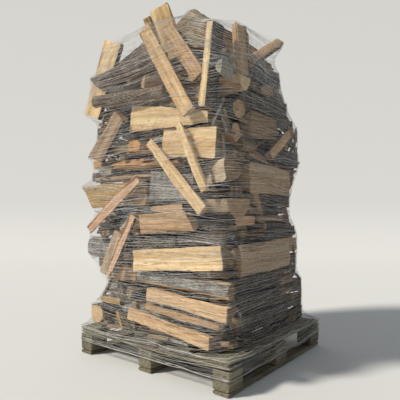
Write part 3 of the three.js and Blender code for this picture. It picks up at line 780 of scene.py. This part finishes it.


# The listed ones, each pushed in along the line of sight until it is clear of the others.
# The flat face and its two neighbours carry the bark.
WEDGE_BARK = np.array([1, 1, 0, 0, 0, 1])
for start, end, facing, widths, depth, tone, bark in SEEN:
    sight = unit((np.array(start) + np.array(end)) / 2 - SEEN_FROM)
    for push in np.arange(0.0, PUSH_MOST, PUSH_STEP):
        first, last = faced_log(start + sight * push, end + sight * push, OUTWARD[facing], widths, depth)
        if max(first[:, 1].max(), last[:, 1].max()) < BACK_LIMIT and pile.clear(first, last):
            lay(first, last, tone, bark, WEDGE_BARK if bark else 0 * WEDGE_BARK)
            break
for middle, width, height, tone in SEEN_ENDS:
    for deep in (0.45, 0.34, 0.24, 0.16, 0.10, 0.06):
        seat = np.array(middle) - (deep / 2, 0, 0)
        first, last = loose_log(seat, np.array((1.0, 0, 0)), 0.3, width, height, deep, SHAPES[-1])
        if pile.clear(first, last):
            lay(first, last, tone, "dark", np.ones(len(first), int))
            break


def any_look(sides, tones=PACK_TONES):
    """A tone, a bark and the barked sides for a log of which little shows."""
    tone = tones[draw.integers(len(tones))]
    bark = draw.choice(["dark", "brown", "silver", None])
    skin = draw.integers(0, sides)
    kind = np.roll(np.arange(sides) < draw.integers(3, 5), skin) & (bark is not None)
    return tone, bark, kind.astype(int)


def slid_out(first, last):
    """A log slid as far as it goes, in ever smaller steps: along itself, then outwards."""
    along = last.mean(axis=0) - first.mean(axis=0)
    along *= draw.choice((-1, 1)) / np.linalg.norm(along)
    outward = (first.mean(axis=0) + last.mean(axis=0)) * (0.5, 0.5, 0)
    outward /= np.linalg.norm(outward) + 1e-9
    for way in (along, outward):
        for step in (0.08, 0.04, 0.02, 0.01, 0.005):
            shifted = first + way * step, last + way * step
            if in_form(np.concatenate(shifted)).all() and pile.clear(*shifted):
                first, last = shifted
    return first, last


# Leaning logs just under the outer ones: along all four sides and the two cut-off corners,
# longer ones first
tries = 6000
for k in range(tries):
    z = draw.uniform(0.19, 1.66)
    left, right, front, back, corner, far = form_at(z)
    w, u = draw.uniform(0.025, 0.09), draw.uniform(-0.32, 0.32)
    middle, run = [((u, front + w, z), (1, 0, 0)), ((right - w, u, z), (0, 1, 0)),
                   ((corner + w + 0.6 * u, front + w - 0.5 * u, z), (0.766, -0.643, 0)),
                   ((right - w - 0.3 * abs(u), far - w + 0.6 * abs(u), z), (-0.447, 0.894, 0)),
                   ((u, back - w, z), (1, 0, 0)), ((left + w, u, z), (0, 1, 0))][k % 6]
    lean = draw.normal(0, 0.25) if draw.random() < 0.75 else draw.normal(0, 0.9)
    along = np.array(run, float) * math.cos(lean) + np.array((0, 0, 1.0)) * math.sin(lean)
    along += np.array((run[1], run[0], 0)) * draw.normal(0, 0.08)
    shorter = 1.0 if k < tries * 0.4 else draw.uniform(0.3, 0.9)
    shape = SHAPES[draw.integers(len(SHAPES))]
    first, last = loose_log(np.array(middle), along, draw.uniform(0, 2 * math.pi), draw.uniform(*PACK_WIDTH),
                            draw.uniform(*PACK_DEPTH), draw.uniform(*PACK_LENGTH) * shorter, shape)
    if in_form(np.concatenate([first, last])).all() and pile.clear(first, last):
        lay(*slid_out(first, last), *any_look(len(first)))

# What is still free is filled in courses. A grid of small cells keeps what is taken.
CELL = 0.010
GRID_LOW = np.array((-0.51, -0.44, 0.152))
GRID_SIZE = (96, 92, 155)
cells = np.stack(np.meshgrid(*(np.arange(n) for n in GRID_SIZE), indexing="ij"), axis=-1)
cells = cells * CELL + GRID_LOW + CELL / 2
taken = ~in_form(cells)


def take(first, last):
    """Marks the cells whose middles lie in a log, with four millimetres to spare."""
    both = np.concatenate([first, last])
    low = np.clip(((both.min(axis=0) - GRID_LOW) / CELL).astype(int) - 1, 0, GRID_SIZE)
    high = np.clip(((both.max(axis=0) - GRID_LOW) / CELL).astype(int) + 2, 0, GRID_SIZE)
    part = tuple(slice(a, b) for a, b in zip(low, high))
    normal, reach = faces_of(first, last)
    taken[part] |= ((cells[part] @ normal.T - reach) < 0.004).all(axis=-1)


for first, last in log_shapes + open_ways + [log[:2] for log in packed]:
    take(first, last)

# Ever smaller logs: the least and greatest width and height, and the least length, in cells.
# Each fills its cells but for a narrow gap.
SNUG = 0.98
END_GAP = 0.004
LONGEST = 49
for size_low, size_high, least in ((10, 14, 20), (7, 10, 16), (5, 7, 11), (4, 5, 8)):
    level = 0
    course = 0
    while level + size_low <= GRID_SIZE[2]:
        high = int(draw.integers(size_low, size_high + 1))
        run = course % 2
        row = 0
        while row + size_low <= GRID_SIZE[1 - run]:
            wide = int(draw.integers(size_low, size_high + 1))
            slab = taken[:, row:row + wide] if run == 0 else taken[row:row + wide].swapaxes(0, 1)
            free = ~slab[:, :, level:level + high].any(axis=(1, 2))
            edges = np.flatnonzero(np.diff(np.concatenate([[0], free.astype(int), [0]])))
            for begin, stop in zip(edges[::2], edges[1::2]):
                while stop - begin >= least:
                    length = min(stop - begin, int(draw.integers(34, LONGEST)))
                    if stop - begin - length < least:
                        length = min(stop - begin, LONGEST)
                    middle = np.zeros(3)
                    middle[run] = (begin + length / 2) * CELL
                    middle[1 - run] = (row + wide / 2) * CELL
                    middle[2] = (level + high / 2) * CELL
                    along = np.zeros(3)
                    along[run] = 1
                    spin = draw.integers(0, 2) * math.pi
                    shape = SHAPES[draw.integers(len(SHAPES))]
                    first, last = loose_log(middle + GRID_LOW, along, spin, wide * CELL * SNUG,
                                            high * CELL * SNUG, length * CELL - END_GAP, shape)
                    # All but the largest filling logs take only the dark tones, as painted shade
                    lay(first, last, *any_look(len(first), PACK_TONES if size_low > 7 else PAINTED_SHADE_TONES))
                    take(first, last)
                    begin += length
            row += wide
        level += high
        course += 1


def unstopped(eye, sights, logs):
    """Which lines of sight from an eye pass all the given logs. A line enters a log at the last
    of the planes it meets from outside and leaves it at the first that it meets from inside."""
    planes = [faces_of(*log[:2]) for log in logs]
    free = np.ones(len(sights), bool)
    for normal, reach in planes:
        speed = sights[free] @ normal.T
        gap = reach - normal @ eye
        with np.errstate(divide="ignore", invalid="ignore"):
            at = gap / speed
        enter = np.where(speed < 0, at, -np.inf).max(axis=1)
        leave = np.where(speed > 0, at, np.inf).min(axis=1)
        free[np.flatnonzero(free)[enter < leave - 0.002]] = False
    return free


# The real pile is too close to look through. Where a line of sight from one of the four corners
# still passes between the logs, short split pieces are set in its way. Each try takes a place on
# the line and a direction. The outline tested is shrunk, so these pieces may press into others.
TRIES = [(shrunk, scale) for shrunk in (0.75, 0.45) for scale in np.repeat((0.9, 0.7, 0.5, 0.36, 0.26), 9)]
views = [(SEEN_FROM, 0.008), (SEEN_FROM * (-1, 1, 1), 0.02), (SEEN_FROM * (1, -1, 1), 0.02),
         (SEEN_FROM * (-1, -1, 1), 0.02)]
for eye, gap in views:
    across = np.array((-eye[1], eye[0], 0)) / np.hypot(eye[0], eye[1])
    u, z = np.meshgrid(np.arange(-0.66, 0.66, gap), np.arange(-0.10, 1.70, gap))
    sights = u.reshape(-1, 1) * across + z.reshape(-1, 1) * (0, 0, 1) - eye
    sights = sights[unstopped(eye, sights, log_shapes + packed)]
    steps = np.linspace(0.72, 1.28, 70)
    on_line = eye + sights[:, None] * steps[None, :, None]
    within = in_form(on_line)
    length = within.sum(axis=1) * (steps[1] - steps[0]) * np.linalg.norm(eye)
    keep = length > 0.03
    sights, on_line, within = sights[keep], on_line[keep], within[keep]
    waiting = np.ones(len(sights), bool)
    for k in range(len(sights)):
        if not waiting[k]:
            continue
        for shrunk, scale in TRIES:
            middle = on_line[k][draw.choice(np.flatnonzero(within[k]))] + draw.normal(0, 0.008, 3)
            along = draw.normal(size=3) * (1, 1, 0.7)
            first, last = loose_log(middle, along, draw.uniform(0, 2 * math.pi), 0.09 * scale, 0.07 * scale,
                                    0.04 + 0.30 * scale, SHAPES[draw.integers(len(SHAPES))])
            core = [ring.mean(axis=0) + shrunk * (ring - ring.mean(axis=0)) for ring in (first, last)]
            if in_form(np.concatenate(core)).all() and pile.clear(*core):
                # These pieces take only the dark tones, as painted shade
                lay(first, last, *any_look(len(first), PAINTED_SHADE_TONES))
                waiting[waiting] = unstopped(eye, sights[waiting], packed[-1:])
                if not waiting[k]:
                    break

groups = {"packed_logs_1": [], "packed_logs_2": []}
for log in packed:
    level = np.concatenate(log[:2])[:, 2].mean()
    groups["packed_logs_1" if level < 0.931 else "packed_logs_2"].append(log)


def packed_relief(finish, grain, seed):
    """The same torn fibres and bark furrows as the outer logs, on a coarser grid."""
    torn = waves(grain, seed, (0.02, 0.02, 0.2), 10)
    plate = np.abs(waves(grain, seed + 3, (0.03, 0.03, 0.09), 10))
    return np.clip(np.where(finish == 1, 0.003 - 0.002 * plate, 0.0012 + 0.0008 * torn), 0, 0.006)


def depth_in_form(first, last):
    """How far a log's nearest point to the outside lies under the form's sides."""
    both = np.concatenate([first, last])
    left, right, front, back = form_at(both[:, 2])[:4]
    sides = np.stack([both[:, 0] - left, right - both[:, 0], both[:, 1] - front, back - both[:, 1],
                      FORM[-1, 0] - both[:, 2]])
    return sides.min()


for node, logs in groups.items():
    points, quads, tris, parts_q, parts_t, grains = [], [], [], [], [], []
    total = 0
    for number, (first, last, tone, bark, kind) in enumerate(logs):
        seed = 5000 + 31 * number + (0 if node.endswith("1") else 9000)
        fine, step = (0.018, 0.05) if depth_in_form(first, last) < 0.11 else (0.05, 0.16)
        body = carried(first, last, kind, seed, fine, step, packed_relief, 0.001)
        place = PACK_TONES.index(tone)
        skin = 2 * len(PACK_TONES) + (list(BARKS).index(bark) if bark else 0)
        finish = np.where(body[3] == 1, skin, np.where(body[3] == 2, len(PACK_TONES) + place, place))
        points.append(body[0])
        grains.append(body[4] + (0, 0, 2.3 * number))
        quads.append(body[1] + total)
        tris.append(body[2] + total)
        parts_q.append(finish[:len(body[1])])
        parts_t.append(finish[len(body[1]):])
        total += len(body[0])
    looks = [split_finish[t] for t in PACK_TONES] + [end_finish[t] for t in PACK_TONES]
    looks += list(bark_finish.values())
    piece = new_piece("split_" + node, np.concatenate(points), np.concatenate(quads), looks,
                      np.concatenate(parts_q + parts_t), np.concatenate(grains), 38, np.concatenate(tris))
    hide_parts(node)
    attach(piece, "root")
    held_places.append(np.concatenate(points))

# Net wrap: white knitted plastic netting, stretched round the pile from the pallet's edge up.
# Chains of loops run round the pile a few millimetres apart, and thin zigzag yarns tie them.
# It was wound on in several turns, so a second layer of chains crosses the first at a slant.
NET_TURN = 900
NET_LOW = 0.0695
NET_HIGH = 1.826
NET_LEVELS = 340
NET_OVER = 0.0022
DECK_HALF = (0.5, 0.475)
RIM_FROM = 1.30
CAUGHT_HIGH = 0.09

# Height of the net's upper rim, by the direction it faces, in degrees from +X towards +Y
NET_RIM = np.array([(-180, 1.750), (-131, 1.808), (-108, 1.780), (-85, 1.795), (-61, 1.824), (-47, 1.712),
                    (-36, 1.704), (-25, 1.735), (0, 1.732), (14, 1.752), (30, 1.802), (60, 1.765),
                    (120, 1.750), (180, 1.750)])

# Tips where the net is caught and its chains draw together: direction, height, reach and pull
CAUGHT = [(-58, 1.735, 0.24, 0.20), (-124, 1.715, 0.2, 0.4), (-136, 1.50, 0.25, 0.45),
          (-53, 1.265, 0.2, 0.55), (-136, 0.93, 0.25, 0.45), (-44, 0.245, 0.2, 0.5),
          (-46, 0.60, 0.18, 0.35), (-134, 0.30, 0.2, 0.4), (32, 1.72, 0.25, 0.5), (-8, 1.00, 0.2, 0.35),
          (36, 1.08, 0.25, 0.4), (150, 1.2, 0.3, 0.4), (90, 0.8, 0.3, 0.4), (-110, 0.80, 0.16, 0.4)]


def taut_reach(points):
    """How far the net stands from the pile's upright middle line, on a grid of height and turn.
    Each level starts as the tightest loop round everything near that height. It then sinks to
    the mean of its neighbours, round and up and down, but never into what it wraps."""
    turn = np.linspace(-math.pi, math.pi, NET_TURN, endpoint=False)
    level = np.linspace(NET_LOW, NET_HIGH, NET_LEVELS)
    reach = np.hypot(points[:, 0], points[:, 1])
    at_turn = np.floor((np.arctan2(points[:, 1], points[:, 0]) + math.pi) / (2 * math.pi) * NET_TURN)
    at_turn = at_turn.astype(int) % NET_TURN
    at_level = np.round((points[:, 2] - NET_LOW) / (NET_HIGH - NET_LOW) * (NET_LEVELS - 1)).astype(int)
    inside = (at_level >= 0) & (at_level < NET_LEVELS)
    held = np.zeros((NET_LEVELS, NET_TURN))
    np.maximum.at(held, (at_level[inside], at_turn[inside]), reach[inside])
    deck = (level < DECK_TOP)[:, None]
    edge_x = DECK_HALF[0] / np.maximum(np.abs(np.cos(turn)), 1e-9)
    edge_y = DECK_HALF[1] / np.maximum(np.abs(np.sin(turn)), 1e-9)
    held = np.where(deck, np.minimum(edge_x, edge_y)[None, :] + 0.0005, held)
    for shift in (-1, 1):
        held = np.maximum(held, np.roll(held, shift, axis=1))
    held[1:] = np.maximum(held[1:], held[:-1])
    held[:-1] = np.maximum(held[:-1], held[1:])
    band = held.copy()
    for shift in range(1, 4):
        band[shift:] = np.maximum(band[shift:], held[:-shift])
        band[:-shift] = np.maximum(band[:-shift], held[shift:])
    aims = np.linspace(-math.pi, math.pi, 240, endpoint=False)
    lean = np.cos(turn[:, None] - aims[None, :])
    loop = np.empty_like(held)
    for row in range(NET_LEVELS):
        support = (band[row][:, None] * lean).max(axis=0)
        loop[row] = np.where(lean > 0.15, support[None, :] / np.maximum(lean, 0.15), 9.0).min(axis=1)
    net = loop
    round_loss = math.cos(2 * math.pi / NET_TURN)
    for _ in range(70):
        beside = 0.5 * (np.roll(net, 1, axis=1) + np.roll(net, -1, axis=1)) * round_loss
        above = np.concatenate([net[1:], net[-1:]])
        below = np.concatenate([net[:1], net[:-1]])
        net = np.maximum(held, 0.6 * beside + 0.2 * above + 0.2 * below)
    return net


def on_net(reach, turn, height, over):
    """Points on the net at a turn and a height, standing over it by a little."""
    u = (turn + math.pi) / (2 * math.pi) * NET_TURN
    v = np.clip((height - NET_LOW) / (NET_HIGH - NET_LOW) * (NET_LEVELS - 1), 0, NET_LEVELS - 1.001)
    i, j = np.floor(u).astype(int), np.floor(v).astype(int)
    fu, fv = u - i, v - j
    a, b = i % NET_TURN, (i + 1) % NET_TURN
    r = (reach[j, a] * (1 - fu) + reach[j, b] * fu) * (1 - fv)
    r = r + (reach[j + 1, a] * (1 - fu) + reach[j + 1, b] * fu) * fv + over
    return np.stack([r * np.cos(turn), r * np.sin(turn), height], axis=-1)


def yarns(name, paths, width, material):
    """Three-sided yarns along closed loops: each station has three corners set round the path,
    one outwards from the pile and two against it. width holds one number for each loop."""
    count, steps, _ = paths.shape
    ahead = units(np.roll(paths, -1, axis=1) - np.roll(paths, 1, axis=1))
    out = units(paths * (1, 1, 0))
    side = units(np.cross(ahead, out))
    out = np.cross(side, ahead)
    half = np.broadcast_to(width, (count,))[:, None, None] / 2
    corner = []
    for angle in (90, 210, 330):
        c, s = math.cos(math.radians(angle)), math.sin(math.radians(angle))
        corner.append(paths + half * (c * side + s * out))
    points = np.stack(corner, axis=2).reshape(-1, 3)
    k, s, c = np.meshgrid(np.arange(count), np.arange(steps), np.arange(3), indexing="ij")
    nxt = (s + 1) % steps
    turn = (c + 1) % 3
    base = k * steps * 3
    here, there = base + s * 3, base + nxt * 3
    quads = np.stack([here + c, here + turn, there + turn, there + c], axis=-1).reshape(-1, 4)
    first = points[quads[0]]
    middle = paths[0, 0]
    if np.cross(first[1] - first[0], first[2] - first[0]) @ (first.mean(axis=0) - middle) < 0:
        quads = quads[:, ::-1]
    piece = new_piece(name, points, quads, [material], sharp=None)
    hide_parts("net_wrap")
    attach(piece, "root")
    return piece


add, finished = new_look("net_yarn_plastic", 0.5)
place = add("ShaderNodeTexCoord").outputs["Object"]
dust = noise(add, place, 30, 3)
twist = noise(add, place, 900, 1)
height = add("ShaderNodeSeparateXYZ", {"Vector": place}).outputs["Z"]
colour = ramp(add, dust, [(0.35, (0.50, 0.51, 0.52)), (0.62, (0.80, 0.81, 0.82))])
# The yarn is darker towards the bottom, below about half a metre
darker_low = [(0.06, (0.72, 0.69, 0.63)), (0.30, (0.90, 0.89, 0.86)), (0.55, (1, 1, 1))]
colour = shaded(add, 1.0, colour, height, darker_low)
net_yarn = finished(colour, 0.3, 0.0004, twist)
reach = taut_reach(np.concatenate(held_places))


def rim_at(turn):
    """Height of the net's upper rim at a turn round the pile."""
    return np.interp(np.degrees(turn), NET_RIM[:, 0], NET_RIM[:, 1])


def net_height(base, around):
    """Height of a chain round the pile: its own level, tilted with the rim near the top, and
    drawn towards the places where the net is caught: -pull * (z - z0) * exp(-distance squared)."""
    rim = rim_at(around)
    part = np.clip((base - RIM_FROM) / (NET_HIGH - RIM_FROM), 0, 1)
    height = base + (rim - NET_HIGH) * part * part * (3 - 2 * part)
    drawn = np.zeros_like(height)
    for aim, level, span, pull in CAUGHT:
        off = (around - math.radians(aim) + math.pi) % (2 * math.pi) - math.pi
        near = np.exp(-(off / span) ** 2 - ((height - level) / CAUGHT_HIGH) ** 2)
        drawn -= pull * (height - level) * near
    return height + drawn


def laid_round(base, steps, lean, slow, quick, seed, over):
    """Closed chains at the base levels: leaning by lean, straying in slow waves that all share
    and in quick ones that differ from one chain to the next, and standing over the net."""
    turn = np.linspace(-math.pi, math.pi, steps, endpoint=False)
    base, turn = np.broadcast_arrays(base[:, None], turn[None, :])
    place = np.stack([np.cos(turn), np.sin(turn), base], axis=-1)
    height = net_height(base, turn)
    height = height + lean * np.sin(turn + 7 * base + seed)
    height = height + slow * waves(place, seed, (1.5, 1.5, 0.45), 10)
    height = height + quick * waves(place, seed + 1, (0.30, 0.30, 0.012), 12)
    height = np.clip(height, NET_LOW + 0.001, rim_at(turn))
    return turn, on_net(reach, turn, height, over)


loose = np.random.default_rng(7)
gaps = loose.uniform(0.0040, 0.0120, 400)
base = NET_LOW + 0.002 + np.cumsum(gaps)
base = base[base < NET_HIGH - 0.002]
widths = loose.choice([0.0007, 0.0010, 0.0018], len(base), p=[0.5, 0.35, 0.15])
_, chains = laid_round(base, 270, 0.004, 0.007, 0.0022, 71, NET_OVER)
half = len(base) // 2
yarns("net_chains_lower", chains[:half], widths[:half], net_yarn)
yarns("net_chains_upper", chains[half:], widths[half:], net_yarn)

base = np.arange(0.080, NET_HIGH - 0.005, 0.0135)
widths = loose.choice([0.0007, 0.0011, 0.0022], len(base), p=[0.55, 0.30, 0.15])
_, crossing = laid_round(base, 240, 0.030, 0.014, 0.003, 74, NET_OVER + 0.0012)
yarns("net_crossing_chains", crossing, widths, net_yarn)

base = np.arange(NET_LOW + 0.006, NET_HIGH - 0.012, 0.030)
steps = 540
turn, ties = laid_round(base, steps, 0.004, 0.007, 0.0022, 71, NET_OVER + 0.0006)
swing = np.abs(((np.arange(steps) / 6) % 1) * 2 - 1)
swing = np.stack([np.roll(swing, int(loose.integers(0, 6))) for _ in base])
height = np.clip(ties[..., 2] + 0.014 * (swing - 0.5), NET_LOW + 0.001, rim_at(turn))
ties = on_net(reach, turn, height, NET_OVER + 0.0006)
yarns("net_zigzag_ties", ties, 0.0008, net_yarn)

# The hem: the last turns are gathered into a loose rope along the edge of the deck
base = np.array([0.0735, 0.0770, 0.0840, 0.1450, 0.1500])
_, hem = laid_round(base, 300, 0.001, 0.003, 0.0040, 90, NET_OVER + 0.001)
yarns("net_gathered_hem", hem, np.array([0.0034, 0.0026, 0.0024, 0.0026, 0.0030]), net_yarn)

# Camera, floor and light: the view stands low, outside the near corner.
# A warm key comes from the left of the camera and a pale sky fills the shade.
camera_data = bpy.data.cameras.new("view_camera")
camera_data.sensor_width = 36
camera_data.lens = 38.53
camera = placed("view_camera", camera_data)
camera.location = SEEN_FROM
camera.rotation_euler = (math.radians(90 + 1.83), 0, math.radians(37.90))
bpy.context.scene.camera = camera

# The floor is one sheet of paper, swept up behind the pallet as seen from the camera
ahead = np.array((-0.614, 0.789))
beside = np.array((0.789, 0.614))
profile = [(-9.0, 0.0), (4.2, 0.0)]
profile += [(4.2 + 2.0 * math.sin(a), 2.0 - 2.0 * math.cos(a)) for a in np.radians(np.arange(5, 61, 5))]
profile += [(profile[-1][0] + 6.4, profile[-1][1] + 11.0)]
sheet = [(*(ahead * run + beside * wide), rise) for run, rise in profile for wide in (-12.0, 12.0)]
floor_mesh = bpy.data.meshes.new("floor")
floor_mesh.from_pydata(sheet, [], [(2 * k, 2 * k + 1, 2 * k + 3, 2 * k + 2) for k in range(len(profile) - 1)])
floor_mesh.polygons.foreach_set("use_smooth", [True] * len(floor_mesh.polygons))
floor = placed("floor", floor_mesh)
add, finished = new_look("floor_paper", 0.9)
floor_mesh.materials.append(finished((0.66, 0.66, 0.65, 1)))

sun_data = bpy.data.lights.new("key_light", "SUN")
sun_data.energy = 3.9
sun_data.angle = math.radians(9)
sun_data.color = (1.0, 0.95, 0.86)
sun = placed("key_light", sun_data)
sun.rotation_euler = (math.radians(50), 0, math.radians(-33))

world = bpy.data.worlds.new("studio")
bpy.context.scene.world = world
world.use_nodes = True
world.node_tree.nodes["Background"].inputs[0].default_value = (0.86, 0.93, 1.0, 1)
world.node_tree.nodes["Background"].inputs[1].default_value = 0.33
bpy.context.scene.view_settings.view_transform = "Standard"
